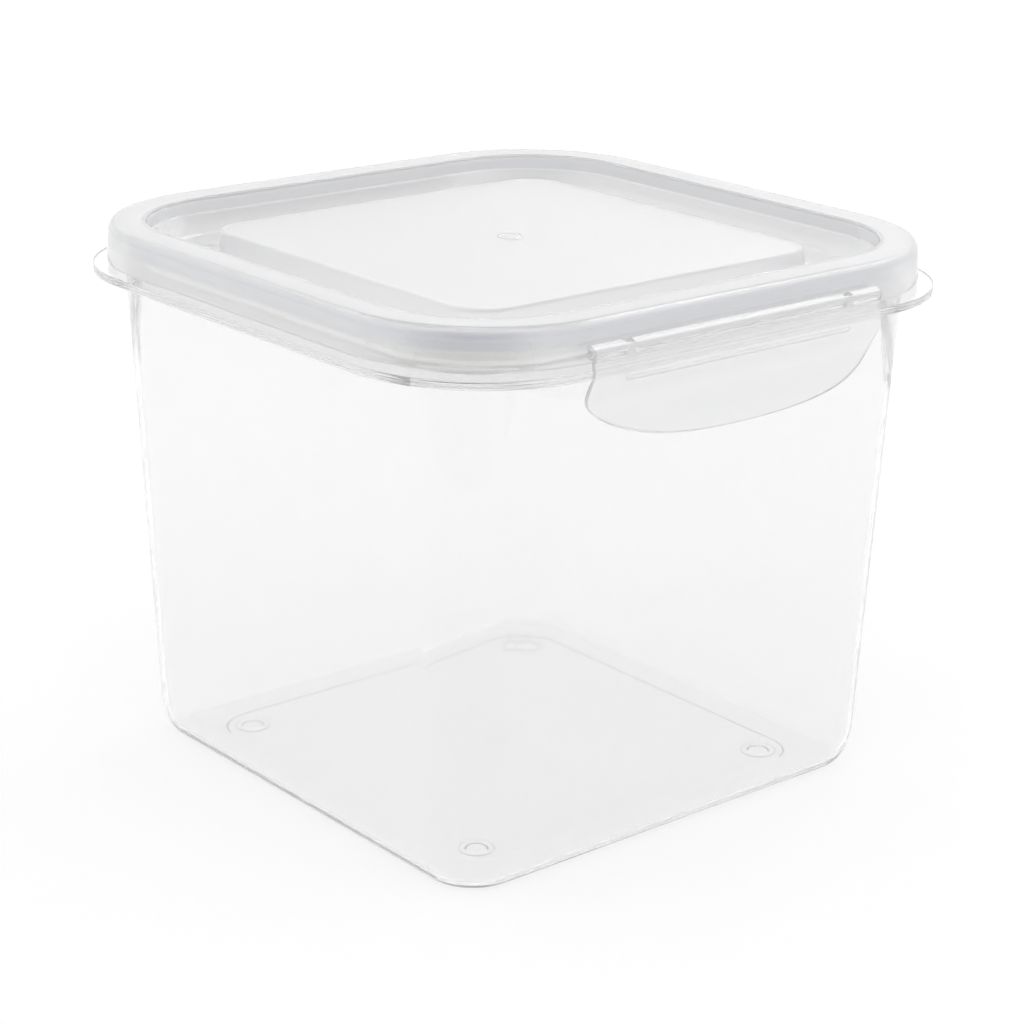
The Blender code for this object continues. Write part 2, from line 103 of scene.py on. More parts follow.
class TubSizes(bpy.types.PropertyGroup):
    base_half: length("Base", "Half the wall's width at the floor", 0.07865)
    top_half: length("Top", "Half the wall's width under the flange", 0.0838)
    corner_radius: length("Corner", "Radius of the wall's corners", 0.0174)
    wall: length("Wall", "Thickness of the wall", 0.0015)
    floor: length("Floor", "Thickness of the floor", 0.002)
    edge_reach: length("Bottom edge", "How far the rounded edge reaches in under the wall", 0.006)
    edge_height: length("Bottom edge height", "How far the rounded edge reaches up the wall", 0.013)
    panel_half: length("Panel", "Half the width of the recessed panel under the floor", 0.063)
    panel_recess: length("Panel recess", "How far the panel is set up", 0.0004)
    panel_radius: length("Panel corner", "Radius of the panel's corners", 0.012)
    facet_depth: length("Facet depth", "How far a facet stands in from its corner's arc, under the flange", 0.0061)
    facet_height: length("Facet height", "How far the facets run down inside the corners", 0.0305)
    flange_half: length("Flange", "Half the flange's width", TUB_HIGH.x)
    flange_radius: length("Flange corner", "Radius of the flange's corners", 0.0407)
    flange_bottom: length("Flange underside", "Height of the flange's underside", 0.1449)
    flange_top: length("Flange top", "Height of the flange's top", 0.1472)
    rim_half: length("Rim", "Half the width of the rim over the flange", 0.0882)
    rim_radius: length("Rim corner", "Radius of the rim's corners", 0.0378)
    rim_wall: length("Rim wall", "Thickness of the rim", 0.0018)
    top: length("Rim top", "Height of the rim's top", TUB_HIGH.z)
    foot_radius: length("Foot radius", "Radius of the round feet", 0.0052)
    foot_spacing: length("Foot spacing", "Distance between the feet", 0.108)
    ribs: count("Ribs", "Fine ribs round the flange's edge", 3)
    rib_depth: length("Rib depth", "How far the ribs stand out from the grooves between them", 0.00009)


class LidSizes(bpy.types.PropertyGroup):
    half: length("Skirt", "Half the skirt's width at its lower edge", LID_HIGH.x)
    radius: length("Corner", "Radius of the skirt's corners", 0.0452)
    draft: length("Draft", "How far the skirt leans in towards its top", 0.0006)
    skirt_bottom: length("Skirt's edge", "Height of the skirt's lower edge", 0.1484)
    top: length("Top", "Height of the rim's top", 0.1594)
    wall: length("Wall", "Thickness of the lid", 0.0013)
    shoulder: length("Shoulder", "Radius of the edge between the skirt and the rim", 0.0033)
    rim_half: length("Rim's inner edge", "Half the width of the trough's mouth", 0.0834)
    rim_radius: length("Trough corner", "Radius of the trough's corners at its mouth", 0.033)
    trough_taper: length("Trough taper", "How far the trough's wall leans in", 0.0028)
    trough_floor: length("Trough floor", "Height of the trough's floor", 0.149)
    step: length("Step", "Width of the step in the trough's wall", 0.0005)
    step_drop: length("Step drop", "How far the step lies under the rim's top", 0.0044)
    plateau_half: length("Plateau", "Half the plateau's width", 0.062)
    plateau_radius: length("Plateau corner", "Radius of the plateau's corners", 0.011)
    plateau_top: length("Plateau top", "Height of the plateau", 0.156)
    plateau_draft: length("Plateau draft", "How far the plateau's sides lean out", 0.0009)
    roof: length("Channel roof", "Height of the roof of the seal's channel", 0.1581)
    lug_inside: length("Lugs", "Half the distance between the lugs", 0.038)
    lug_thickness: length("Lug thickness", "Thickness of a lug", 0.002)
    lug_height: length("Lug height", "Height of a lug", 0.0016)
    rod_reach: length("Rod", "Half the length of the rod the latch swings on", 0.0514)
    rod_radius: length("Rod radius", "Radius of the rod", 0.00095)


class SealSizes(bpy.types.PropertyGroup):
    middle: length("Middle", "Half the width along the seal's middle line", 0.0873)
    radius: length("Corner", "Radius of the middle line's corners", 0.0369)
    width: length("Width", "Width of the seal", 0.0046)
    top: length("Top", "Height of the seal's top", 0.1578)
    bottom: length("Bottom", "Height of the groove over the tub's rim", 0.1553)
    lip: length("Lip", "How far the lips hang down beside the rim", 0.0007)
    groove: length("Groove", "Half the groove's width", 0.0012)


class LatchSizes(bpy.types.PropertyGroup):
    half: length("Half length", "Half the bar's length", 0.051)
    knuckle: length("Knuckle", "Outer radius of the knuckle", 0.0019)
    bore: length("Bore", "Radius of the knuckle's bore", 0.00125)
    slot: length("Slot", "Half the width of the knuckle's slot", 0.0008)
    bar_front: length("Bar front", "How far the bar stands out from the axis", 0.00195)
    bar_edge: length("Bar edge", "How far the bar's front runs up from the axis", 0.0006)
    bar_drop: length("Bar drop", "How far the bar runs down from the axis", 0.0026)
    neck_end: length("Neck", "Where the neck ends inside the flap", 0.0045)
    groove: length("Groove", "Width of the groove between the bar and the flap", 0.0004)
    thickness: length("Thickness", "Thickness of the flap", 0.0013)
    crest_drop: length("Crest drop", "Where the flap stands out over the flange, under the axis", 0.0058)
    crest_out: length("Crest", "How far the flap stands out there at rest", 0.0022)
    crest_ease: length("Crest ease", "How far the flap's top lies behind its crest", 0.0005)
    hollow_drop: length("Hollow drop", "Where the flap is hollowest under the axis", 0.0148)
    hollow_depth: length("Hollow", "How far the flap's hollow lies behind its crest", 0.0028)
    tip_flare: length("Flare", "How far the flap's tip stands out from its hollow", 0.0041)
    swell: length("Swell", "How far the flap's widest place stands out beside the bar", 0.0013)
    swell_drop: length("Swell drop", "Where the flap is widest under the axis", 0.0095)
    flap_drop: length("Flap", "How far the flap runs down from the axis", 0.0259)
    oval: FloatProperty(name="Oval", description="Power of the flap's oval edge", default=2.35)
    hook_drop: length("Hook drop", "Where the hook lies under the axis", 0.0074)
    hook_tip: length("Hook tip", "Thickness of the hook's tip", 0.0008)
    hook_ramp: length("Hook ramp", "How much thicker the hook is at its root", 0.001)
    hook_half: length("Hook length", "Half the hook's length", 0.04)
    pocket_inside: length("Pocket", "Where a pocket for a lug begins, from the latch's middle", 0.0376)
    pocket_outside: length("Pocket end", "Where the pocket ends", 0.0404)
    pocket_front: length("Pocket depth", "How far out the pockets reach from the axis", 0.0014)
    swing: angle("Swing", "How far the latch hangs out from home", 6)


class Finishes(bpy.types.PropertyGroup):
    clear: colour("Clear plastic", "Colour of the tub", (0.945, 0.945, 0.945))
    milky: colour("Milky plastic", "Colour of the lid", (0.985, 0.985, 0.99))
    frosted: colour("Frosted plastic", "Colour of the latches", (0.98, 0.98, 0.982))
    silicone: colour("Silicone", "Colour of the seal", (0.93, 0.94, 0.97))
    floor: colour("Floor", "Colour of the floor", (0.91, 0.91, 0.91))


class StudioSettings(bpy.types.PropertyGroup):
    eye: FloatVectorProperty(
        name="Eye", description="Where the camera stands", default=(-0.4691, -0.5654, 0.3237), subtype="XYZ"
    )
    azimuth: angle("Azimuth", "Camera's turn", -39.81)
    elevation: angle("Tilt", "Camera's tilt", 18.82)
    roll: angle("Roll", "Camera's roll", 0.753)
    lens: FloatProperty(name="Lens", description="Focal length in millimetres", default=92.6)
    softbox: strength("Softbox", "Power of the softbox in watts", 2.2)
    glow: share("Glow", "How much the floor is whitened to the eye", 0.24)
    surround: strength("Surround", "Strength of the light from all round", 1.045)
    ceiling: share("Ceiling", "Brightness of the ceiling against the walls", 0.87)
    beside: share("Beside the object", "Brightness of the room beside the object against the backdrop", 0.95)
    behind: share("Behind the camera", "Brightness of the room behind the camera against the walls", 0.5)


# Shapes


def all_corners(points, height):
    """The points of one corner, repeated round the four corners at a height."""
    ring = []
    for _ in range(4):
        ring += [(x, y, height) for x, y in points]
        points = [(-y, x) for x, y in points]
    return ring


def arc(centre, radius, angle):
    return centre + radius * math.cos(angle), centre + radius * math.sin(angle)


def square(half, radius, height, steps=28):
    """A ring in the shape of a square with round corners."""
    angles = [math.pi / 2 * step / steps for step in range(steps + 1)]
    return all_corners([arc(half - radius, radius, angle) for angle in angles], height)


def softened(outline, closed=False, steps=6):
    """Rounds the corners of an outline. Each point is its coordinates followed by the rounding's reach."""
    most = 0.48  # of a side's length, so that the roundings at its ends stay apart
    points = [Vector(entry[:-1]) for entry in outline]
    reaches = [entry[-1] for entry in outline]
    rounded = []
    for i, point in enumerate(points):
        at_end = not closed and i in (0, len(points) - 1)
        if at_end or not reaches[i]:
            rounded.append(tuple(point))
            continue
        before = points[i - 1] - point
        after = points[(i + 1) % len(points)] - point
        start = point + before * min(reaches[i] / before.length, most)
        end = point + after * min(reaches[i] / after.length, most)
        for step in range(steps + 1):
            t = step / steps
            rounded.append(tuple(start * (1 - t) ** 2 + point * 2 * t * (1 - t) + end * t**2))
    return rounded


def loft(bm, rows):
    """Joins rows of equal counts of points, and caps both ends."""
    rows = [[bm.verts.new(point) for point in row] for row in rows]
    for first, second in zip(rows, rows[1:]):
        for i in range(len(first)):
            j = (i + 1) % len(first)
            bm.faces.new((first[i], first[j], second[j], second[i]))
    bm.faces.new(rows[0])
    bm.faces.new(rows[-1])


def new_object(name, rows):
    """A solid made of rows of points, in the scene."""
    bm = bmesh.new()
    loft(bm, rows)
    bmesh.ops.recalc_face_normals(bm, faces=bm.faces)
    mesh = bpy.data.meshes.new(name)
    bm.to_mesh(mesh)
    bm.free()
    obj = bpy.data.objects.new(name, mesh)
    bpy.context.scene.collection.objects.link(obj)
    return obj


def section(name, points):
    """A closed outline without a face, to be swept along a path."""
    mesh = bpy.data.meshes.new(name)
    edges = [(i, (i + 1) % len(points)) for i in range(len(points))]
    mesh.from_pydata([(x, y, 0) for x, y in points], edges, [])
    obj = bpy.data.objects.new(name, mesh)
    bpy.context.scene.collection.objects.link(obj)
    return obj


def face_outwards(obj, merged=0.000001):
    """Merges an object's points that meet, and turns its faces outwards."""
    bm = bmesh.new()
    bm.from_mesh(obj.data)
    bmesh.ops.remove_doubles(bm, verts=bm.verts, dist=merged)
    bmesh.ops.recalc_face_normals(bm, faces=bm.faces)
    bm.to_mesh(obj.data)
    bm.free()


def join(obj, *others, operation="UNION"):
    """Makes one solid of the object and the others, or cuts them out of it."""
    for other in others:
        modifier = obj.modifiers.new(other.name, "BOOLEAN")
        modifier.operation = operation
        modifier.solver = "EXACT"
        modifier.object = other
    settle(obj)
    for other in others:
        bpy.data.objects.remove(other)


def settle(obj):
    """Turns an object's modifiers into plain mesh."""
    evaluated = obj.evaluated_get(bpy.context.evaluated_depsgraph_get())
    mesh = bpy.data.meshes.new_from_object(evaluated)
    obj.modifiers.clear()
    obj.data = mesh


def finished(obj, material, body, node, sharp=14):
    """Shades a piece smooth between its sharp edges, gives it its material and sets it on its body."""
    obj.data.shade_smooth()
    obj.data.set_sharp_from_angle(angle=math.radians(sharp))
    modifier = obj.modifiers.new("even_shading", "WEIGHTED_NORMAL")
    modifier.keep_sharp = True
    modifier.weight = 100
    obj.data.materials.clear()
    obj.data.materials.append(material)
    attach(obj, body)
    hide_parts(node)


def arm(half, radius, end, on_arc, steps, reach=0.045, turn_per_metre=17):
    """Points from the side's start towards a corner: up to a place on the side, or to an angle on the arc."""
    start = half - reach
    straight = (half - radius - start if on_arc else end - start) * turn_per_metre
    turned = end if on_arc else 0
    points = []
    for step in range(steps):
        part = (straight + turned) * step / steps
        if part <= straight:
            points.append((half, start + part / turn_per_metre))
        else:
            points.append(arc(half - radius, radius, part - straight))
    return points


def arc_turn(radius, depth):
    """How far either side of a corner's middle its arc is cut by a flat facet of a depth."""
    return math.acos(max(1 - depth / radius, 0))


def tub_ring(half, radius, height, split, depth=0.0, arm_steps=16, middle_steps=18):
    """One ring of the tub. The depth is how far a flat facet stands in from the arc of the corner."""
    on_arc = True
    sweep = math.pi / 2 - 2 * split
    shares = [step / middle_steps for step in range(middle_steps + 1)]
    middle = [arc(half - radius, radius, split + sweep * share) for share in shares]
    if depth:
        on_arc = arc_turn(radius, depth) <= math.pi / 4
        if on_arc:
            split = math.pi / 4 - arc_turn(radius, depth)
            x, y = arc(half - radius, radius, split)
        else:
            x, y = half, half - 2 * radius + math.sqrt(2) * (radius - depth)
            split = y
        middle = [(x + (y - x) * share, y + (x - y) * share) for share in shares]
    first = arm(half, radius, split, on_arc, arm_steps)
    return all_corners(first + middle + [(y, x) for x, y in reversed(first)], height)


class TubShape:
    """Works out the tub's rings from its sizes."""

    edge_steps = 14
    wall_steps = 8
    facet_start = 0.02
    facet_steps = 26
    facet_crowding = 1.6
    bead_steps = 8
    flange_split = math.radians(20)

    def __init__(self, sizes):
        self.s = sizes
        self.split = math.pi / 4 - arc_turn(sizes.corner_radius - sizes.wall, sizes.facet_depth * self.facet_start)

    def half(self, height):
        return self.s.base_half + (self.s.top_half - self.s.base_half) * height / self.s.flange_bottom

    def plain(self, outline, split):
        """Rings for an outline of half-width, height and corner radius."""
        return [tub_ring(half, radius, height, split) for half, height, radius in outline]

    def wall(self, inset, floor, top, faceted=False):
        """The wall from the floor up: its rounded edge, the plain wall and the heights of the facets."""
        s = self.s
        outline = []
        for step in range(self.edge_steps + 1):
            angle = math.pi / 2 * step / self.edge_steps
            height = floor + (s.edge_height - floor) * (1 - math.cos(angle))
            inwards = inset + (s.edge_reach - inset) * (1 - math.sin(angle))
            outline.append((self.half(height) - inwards, height, s.corner_radius - inwards))
        point = s.flange_bottom - s.facet_height
        for step in range(1, self.wall_steps + 1):
            height = s.edge_height + (point - s.edge_height) * step / self.wall_steps
            outline.append((self.half(height) - inset, height, s.corner_radius - inset))
        rings = self.plain(outline, self.split)
        for step in range(self.facet_steps + 1):
            part = self.facet_start + (1 - self.facet_start) * (step / self.facet_steps) ** self.facet_crowding
            height = point + s.facet_height * part
            place = top if step == self.facet_steps else height
            depth = s.facet_depth * part if faceted else 0.0
            rings.append(tub_ring(self.half(height) - inset, s.corner_radius - inset, place, self.split, depth))
        return rings

    def flange(self):
        """The flange's ribbed edge, then the rim, from the underside up and over."""
        s = self.s
        bead = (s.flange_top - s.flange_bottom) / s.ribs / 2
        foot = 0.0003
        lap_under, lap_over = 0.001, 0.0008  # how far its sheets begin outside and end inside the wall's outside
        crown = s.rim_wall * 0.45
        outline = []

        def edge(half, height):
            outline.append((half, height, s.flange_radius - s.flange_half + half))

        edge(s.top_half + lap_under, s.flange_bottom)
        for i in range(s.ribs):
            for step in range(1 if i else 0, self.bead_steps + 1):
                angle = math.pi * (step / self.bead_steps - 0.5)
                out = s.flange_half - s.rib_depth * (1 - math.cos(angle))
                edge(out, s.flange_bottom + bead * (2 * i + 1 + math.sin(angle)))
        edge(s.rim_half + 2 * foot, s.flange_top)
        rings = self.plain(outline, self.flange_split)
        outline = []

        def rim(half, height, reach):
            outline.append((half, height, s.rim_radius - s.rim_half + half, reach))

        rim(s.rim_half + foot, s.flange_top, 0)
        rim(s.rim_half, s.flange_top + foot, FINE_EDGE / 2)
        rim(s.rim_half, s.top, crown)
        rim(s.rim_half - s.rim_wall, s.top, crown)
        rim(s.rim_half - s.rim_wall, s.flange_top, FINE_EDGE)
        rim(s.top_half - lap_over, s.flange_top, 0)
        return rings + self.plain(softened(outline), self.flange_split)

    def rings(self):
        """All the rings, from the panel out and up over the flange and the rim, and down inside to the floor."""
        s = self.s
        inner = s.panel_half - s.panel_recess
        inner_radius = s.panel_radius - s.panel_recess
        outer = s.panel_half + 0.002
        below, above = 0.003, 0.004  # how far the last rings lie inside the panel's edge
        panel_edge = 0.0001
        outside = [
            (inner - below, s.panel_recess, inner_radius - below, 0),
            (inner, s.panel_recess, inner_radius, panel_edge),
            (s.panel_half, 0, s.panel_radius, panel_edge),
            (outer, 0, s.panel_radius, 0),
        ]
        inside = [(outer, s.floor, s.panel_radius, 0), (inner - above, s.floor, inner_radius - above, 0)]
        rings = self.plain(softened(outside), self.split)
        rings += self.wall(0, 0, s.flange_bottom)
        rings += self.flange()
        rings += reversed(self.wall(s.wall, s.floor, s.flange_top, faceted=True))
        return rings + self.plain(softened(inside), self.split)


def lid_outline(s):
    """The lid's sheet over the top from the plateau to the skirt, then back along the underside."""
    fillet = 0.0009
    inset, inset_under = 0.006, 0.008  # how far the sheet's first and last rings lie inside the plateau's edge
    step_height = s.top - s.step_drop
    bottom_half = s.rim_half - s.trough_taper
    bottom_radius = s.rim_radius - s.trough_taper
    foot = s.plateau_half + s.plateau_draft
    lean = s.half - s.draft
    under_rim = s.rim_half + s.wall
    under_radius = s.rim_radius + s.wall
    underside = s.trough_floor - s.wall
    top = [
        (s.plateau_half - inset, s.plateau_top, s.plateau_radius - inset, 0),
        (s.plateau_half, s.plateau_top, s.plateau_radius, fillet),
        (foot, s.trough_floor, s.plateau_radius + s.plateau_draft, fillet * 0.6),
        (bottom_half, s.trough_floor, bottom_radius, fillet),
        (s.rim_half - s.step, step_height - s.step, s.rim_radius - s.step, s.step * 0.6),
        (s.rim_half, step_height, s.rim_radius, s.step * 0.6),
        (s.rim_half, s.top, s.rim_radius, fillet * 1.2),
        (lean, s.top, s.radius - s.draft, s.shoulder),
        (s.half, s.skirt_bottom, s.radius, s.wall * 0.3),
    ]
    under = [
        (s.half - s.wall, s.skirt_bottom, s.radius - s.wall, s.wall * 0.3),
        (lean - s.wall, s.roof, s.radius - s.draft - s.wall, s.shoulder - s.wall),
        (under_rim, s.roof, under_radius, fillet * 0.4),
        (under_rim, step_height - s.wall, under_radius, FINE_EDGE),
        (bottom_half + s.wall, underside, bottom_radius + s.wall, fillet * 2),
        (foot - s.wall, underside, s.plateau_radius + s.plateau_draft - s.wall, FINE_EDGE),
        (s.plateau_half - s.wall, s.plateau_top - s.wall, s.plateau_radius - s.wall, FINE_EDGE),
        (s.plateau_half - inset_under, s.plateau_top - s.wall, s.plateau_radius - inset_under, 0),
    ]
    return softened(top + under, steps=8)


def knuckle_arc(radius, first, last, steps):
    """Points round the latch's axis. The angle is 0 towards the lid and grows downwards."""
    angles = [first + (last - first) * step / steps for step in range(steps + 1)]
    return [(-radius * math.cos(angle), -radius * math.sin(angle)) for angle in angles]


def swung(outline, swing):
    """An outline turned outwards about the axis, from home to the rest pose."""
    c, s = math.cos(swing), math.sin(swing)
    return [(out * c - up * s, up * c + out * s) for out, up in outline]


def bar_section(s):
    """The outline of the knuckle, the bar and the neck, snapped home, as (out, up) from the axis."""
    outside = math.asin(s.slot / s.knuckle)
    inside = math.asin(s.slot / s.bore)
    crown = math.radians(76)
    crown_edge = 0.0003
    neck_back = 0.0001
    neck_front = s.thickness - neck_back
    under = math.pi - math.acos(neck_back / s.knuckle)
    bar = [
        (-FINE_EDGE, s.knuckle * 0.98, 0),
        (neck_back, s.knuckle, crown_edge),
        (s.bar_front, s.bar_edge, FINE_EDGE),
        (s.bar_front, -s.bar_drop, FINE_EDGE),
        (neck_front, -s.bar_drop, 0),
        (neck_front, -s.neck_end, 0),
        (neck_back, -s.neck_end, 0),
    ]
    outline = knuckle_arc(s.knuckle, -outside, -crown, 10)
    outline += softened(bar)
    outline += knuckle_arc(s.knuckle, under, outside, 14)
    outline += knuckle_arc(s.bore, inside, 2 * math.pi - inside, 28)
    return outline


def eased(first, last, part):
    """A place between two values that leaves the first and nears the last slowly."""
    return first + (last - first) * (1 - math.cos(math.pi * part)) / 2


def flap_front(s, drop):
    """How far out the flap's front hangs at rest: over the flange, in under it, and out again at the tip."""
    top = s.bar_drop + s.groove
    hollow = s.crest_out - s.hollow_depth
    if drop < s.crest_drop:
        return eased(s.crest_out - s.crest_ease, s.crest_out, max(0, drop - top) / (s.crest_drop - top))
    if drop < s.hollow_drop:
        return eased(s.crest_out, hollow, (drop - s.crest_drop) / (s.hollow_drop - s.crest_drop))
    return eased(hollow, hollow + s.tip_flare, min(1, (drop - s.hollow_drop) / (s.flap_drop - s.hollow_drop)))


def flap_edge(s):
    """Half-widths down the flap, each with its distance down."""
    upper_steps, oval_steps, oval_end, closest = 24, 60, 0.995, 0.00005
    top = s.bar_drop + s.groove
    edge = []
    for step in range(upper_steps):
        part = step / upper_steps
        edge.append((eased(s.half, s.half + s.swell, part), top + (s.swell_drop - top) * part))
    for step in range(oval_steps + 1):
        angle = math.pi / 2 * oval_end * step / oval_steps
        down = (s.flap_drop - s.swell_drop) * math.sin(angle) ** (2 / s.oval)
        edge.append(((s.half + s.swell) * math.cos(angle) ** (2 / s.oval), s.swell_drop + down))
    return [point for i, point in enumerate(edge) if not i or math.dist(point, edge[i - 1]) > closest]


def flap_rows(s):
    """The flap's rows from its top to its tip, with a rounded edge all round."""
    soft = s.thickness * 0.42
    quarter = [math.pi / 6 * i for i in range(4)]
    profile = [(soft * (1 - math.sin(a)), soft * (1 - math.cos(a))) for a in quarter]
    profile += [(inset, s.thickness - depth) for inset, depth in reversed(profile)]
    edge = flap_edge(s)
    rows = []
    for i, (half, drop) in enumerate(edge):
        run = Vector(edge[min(i + 1, len(edge) - 1)]) - Vector(edge[max(i - 1, 0)])
        run.normalize()
        row = []
        for inset, depth in profile:
            lower = drop + inset * run.x
            row.append((half - inset * run.y, flap_front(s, lower) - depth, -lower))
        rows.append(row + [(-x, out, up) for x, out, up in reversed(row)])
    return rows


class LatchShape:
    """Builds a latch from its sizes, round the axis of its hinge."""

    def __init__(self, sizes, name):
        self.s = sizes
        self.name = name
        self.side = SIDES[name]
        self.axis = AXES[name]

    def placed(self, points):
        """Points of (along, out, up) set on the axis."""
        axis, side = self.axis, self.side
        return [(axis.x - side * x, axis.y + side * out, axis.z + up) for x, out, up in points]

    def run(self, part, first, last, outline):
        """A solid with an outline of (out, up), from one place along the axis to another."""
        rows = [self.placed([(x, *point) for point in outline]) for x in (first, last)]
        return new_object(f"{self.name}_{part}", rows)

    def hook(self):
        """The hook's outline, from inside the flap to just clear of the flange."""
        s = self.s
        tip = TUB_HIGH.x - abs(self.axis.y) + HOOK_CLEARANCE
        edge = 0.0003
        lower = s.hook_drop + s.hook_tip + s.hook_ramp
        hook = [
            (flap_front(s, s.hook_drop) - s.thickness / 2, -s.hook_drop, 0),
            (tip, -s.hook_drop, edge),
            (tip, -s.hook_drop - s.hook_tip, edge),
            (flap_front(s, lower) - s.thickness / 2, -lower, 0),
        ]
        return softened(hook)

    def moulding(self):
        """The knuckle, the bar with its two pockets, the flap and the hook, as one solid."""
        s = self.s
        latch = self.run("moulding", -s.half, s.half, swung(bar_section(s), s.swing))
        high = s.knuckle * 1.2
        pocket = [(-high, high), (s.pocket_front, high), (s.pocket_front, -s.knuckle), (-high, -s.knuckle)]
        for end in (-1, 1):
            cut = self.run(f"pocket_{end}", end * s.pocket_inside, end * s.pocket_outside, swung(pocket, s.swing))
            join(latch, cut, operation="DIFFERENCE")
        flap = new_object(f"{self.name}_flap", [self.placed(row) for row in flap_rows(s)])
        join(latch, flap, self.run("hook", -s.hook_half, s.hook_half, self.hook()))
        return latch


# Materials


class Value:
    """A node's output that takes part in sums."""

    def __init__(self, tree, socket):
        self.tree = tree
        self.socket = socket

    def math(self, operation, *others):
        return self.tree.node("ShaderNodeMath", {"operation": operation}, self, *others)

    def __add__(self, other):
        return self.math("ADD", other)

    __radd__ = __add__

    def __mul__(self, other):
        return self.math("MULTIPLY", other)

    def __sub__(self, other):
        return self.math("SUBTRACT", other)


class Tree:
    """The nodes of a material, of a world or of a shape."""

    def __init__(self, node_tree):
        self.nodes = node_tree.nodes
        self.links = node_tree.links
        self.nodes.clear()

    def node(self, kind, settings=None, *values, output=0, **sockets):
        """Makes a node, sets it, fills its sockets by order or by name, and returns one of its outputs."""
        node = self.nodes.new(kind)
        for name, value in (settings or {}).items():
            if name == "stops":
                ramp = node.color_ramp
                while len(ramp.elements) < len(value):
                    ramp.elements.new(0.5)
                for element, (place, tone) in zip(ramp.elements, value):
                    element.position = place
                    element.color = (tone, tone, tone, 1) if isinstance(tone, float) else (*tone, 1)
            else:
                setattr(node, name, value)
        for i, value in enumerate(values):
            self.fill(node.inputs[i], value)
        for name, value in sockets.items():
            self.fill(node.inputs[name.replace("_", " ")], value)
        return Value(self, node.outputs[output]) if node.outputs else None

    def fill(self, socket, value):
        """Links a value to a socket, or sets the socket to it."""
        if isinstance(value, Value):
            self.links.new(value.socket, socket)
        elif socket.type == "RGBA" and len(value) == 3:
            socket.default_value = (*value, 1)
        else:
            socket.default_value = value

    def part(self, vector, axis):
        return self.node("ShaderNodeSeparateXYZ", {}, vector, output=axis)

    def mapped(self, value, low, high, first, last):
        """Maps a value from the range of low to high on the range of first to last, and holds it there."""
        return self.node("ShaderNodeMapRange", {}, value, low, high, first, last)

    def ray(self, kind):
        """1 where a ray of this kind looks, 0 for the others."""
        return self.node("ShaderNodeLightPath", output=f"Is {kind} Ray")

    def lets_light_through(self, shader, shade):
        """Makes a surface clear to the rays that light others, so that its shadow is a tint."""
        clear = self.node("ShaderNodeBsdfTransparent", {}, shade)
        return self.node("ShaderNodeMixShader", {}, self.ray("Shadow") + self.ray("Diffuse"), shader, clear)


def shader_tree(owner):
    """The emptied node tree of a material or a world."""
    owner.use_nodes = True
    return Tree(owner.node_tree)


class ShapeTree(Tree):
    """A Geometry Nodes tree with named inputs, whose shape is turned into plain mesh."""

    def __init__(self, name, **inputs):
        self.group = bpy.data.node_groups.new(name, "GeometryNodeTree")
        super().__init__(self.group)
        interface = self.group.interface
        for label, kind in {"Geometry": "Geometry", **inputs, "Material": "Material"}.items():
            interface.new_socket(label.replace("_", " "), in_out="INPUT", socket_type=f"NodeSocket{kind}")
        interface.new_socket("Geometry", in_out="OUTPUT", socket_type="NodeSocketGeometry")
        start = self.nodes.new("NodeGroupInput")
        self.given = {socket.name: Value(self, socket) for socket in start.outputs if socket.name}

    def make(self, obj, shape, **values):
        """Ends the tree in the shape, runs it on an object and turns what it makes into plain mesh."""
        real = self.node("GeometryNodeRealizeInstances", {}, shape)
        shaded = self.node("GeometryNodeSetMaterial", {}, Geometry=real, Material=self.given["Material"])
        self.node("NodeGroupOutput", {}, shaded)
        modifier = obj.modifiers.new(self.group.name, "NODES")
        modifier.node_group = self.group
        for item in self.group.interface.items_tree:
            label = item.name.replace(" ", "_")
            if item.in_out == "INPUT" and label in values:
                modifier[item.identifier] = values[label]
        settle(obj)


def from_middle(tree, place):
    """How far a place lies from the middle, along x and along y."""
    return [tree.part(place, axis).math("ABSOLUTE") for axis in "XY"]


def skirt_painted_shade(tree, place, colour):
    """Painted shade on the lid's outside: a blue-grey band on the skirt's shoulder and a greenish-grey one below
    it, the more so at the corners. It stands in for the darkness that the rounded shoulder reflects and refracts."""
    trough, skirt = 0.086, 0.088  # distances from the middle, round the corners too
    arc_side, arc_middle, share_at_sides = 0.157, 0.168, 0.25  # x and y added up, along a corner's arc
    bottom, top = 0.147, 0.1594
    # the painted shade's colours: blue-grey for the shoulder and greenish-grey below it
    painted_shade_slate, painted_shade_olive = (0.52, 0.54, 0.585), (0.69, 0.705, 0.665)
    power = 6.0
    x, y = from_middle(tree, place)
    reach = (x.math("POWER", power) + y.math("POWER", power)).math("POWER", 1 / power)
    outside = tree.mapped(reach, trough, skirt, 0.0, 1.0)
    corner = tree.mapped(x + y, arc_side, arc_middle, share_at_sides, 1.0)
    height = tree.mapped(tree.part(place, "Z"), bottom, top, 0.0, 1.0)
    # painted shade by height, fading to the plastic's own colour at the rim's top
    stops = [(0.0, painted_shade_olive), (0.5, painted_shade_olive), (0.56, painted_shade_slate), (0.82, painted_shade_slate), (0.95, colour)]
    tint = tree.node("ShaderNodeValToRGB", {"stops": stops}, height)
    return tree.node("ShaderNodeMixRGB", {}, outside * corner, colour, tint)


